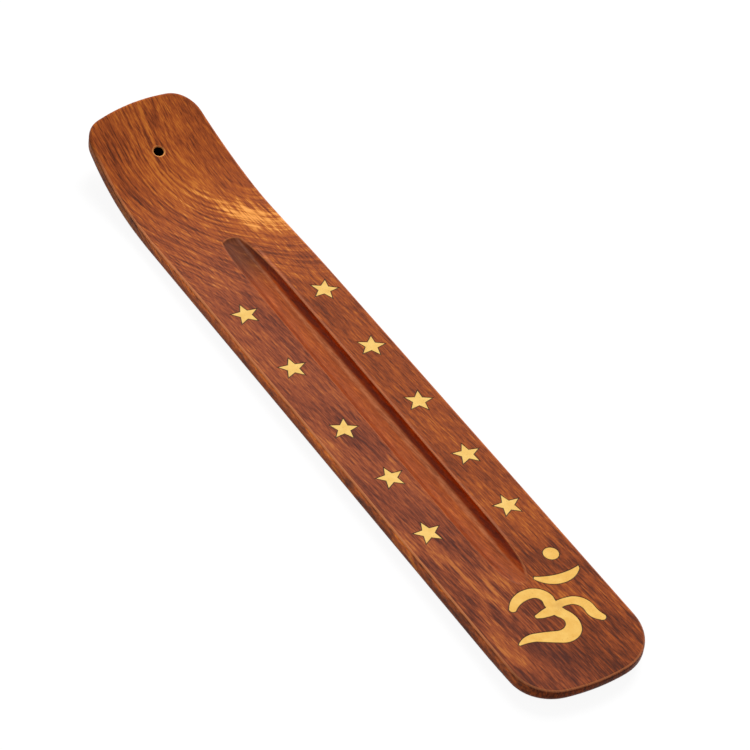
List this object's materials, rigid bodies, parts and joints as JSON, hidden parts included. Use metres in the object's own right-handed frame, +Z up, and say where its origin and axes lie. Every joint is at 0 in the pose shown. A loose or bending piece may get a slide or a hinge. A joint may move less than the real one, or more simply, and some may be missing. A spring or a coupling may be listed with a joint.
{
  "type": "incense stick holder",
  "caption": "Flat wooden incense stick holder with an upturned, drilled end, a long ash trough and flush brass star and Om inlays set in dark filler.",
  "frame": {"origin": "on the table under the middle of the board, at the bottom centre of its box", "axes": "+X along the board to the end with the Om sign, +Y to its right as seen from the upturned end's far side, +Z up"},
  "size_m": [0.2555, 0.0426, 0.0165],
  "materials": {
    "wood": "satin lacquered hardwood",
    "brass": "sanded flush, bright",
    "filler": "dark lac or glue"
  },
  "bodies": {
    "root": {"wooden_base": "wood", "star_inlay_left_1": "brass", "star_bed_left_1": "filler", "star_inlay_left_2": "brass", "star_bed_left_2": "filler", "star_inlay_left_3": "brass", "star_bed_left_3": "filler", "star_inlay_left_4": "brass", "star_bed_left_4": "filler", "star_inlay_left_5": "brass", "star_bed_left_5": "filler", "star_inlay_right_1": "brass", "star_bed_right_1": "filler", "star_inlay_right_2": "brass", "star_bed_right_2": "filler", "star_inlay_right_3": "brass", "star_bed_right_3": "filler", "star_inlay_right_4": "brass", "star_bed_right_4": "filler", "star_inlay_right_5": "brass", "star_bed_right_5": "filler", "om_body_inlay": "brass", "om_body_bed": "filler", "om_crescent_inlay": "brass", "om_crescent_bed": "filler", "om_dot_inlay": "brass", "om_dot_bed": "filler"}
  },
  "joints": []
}
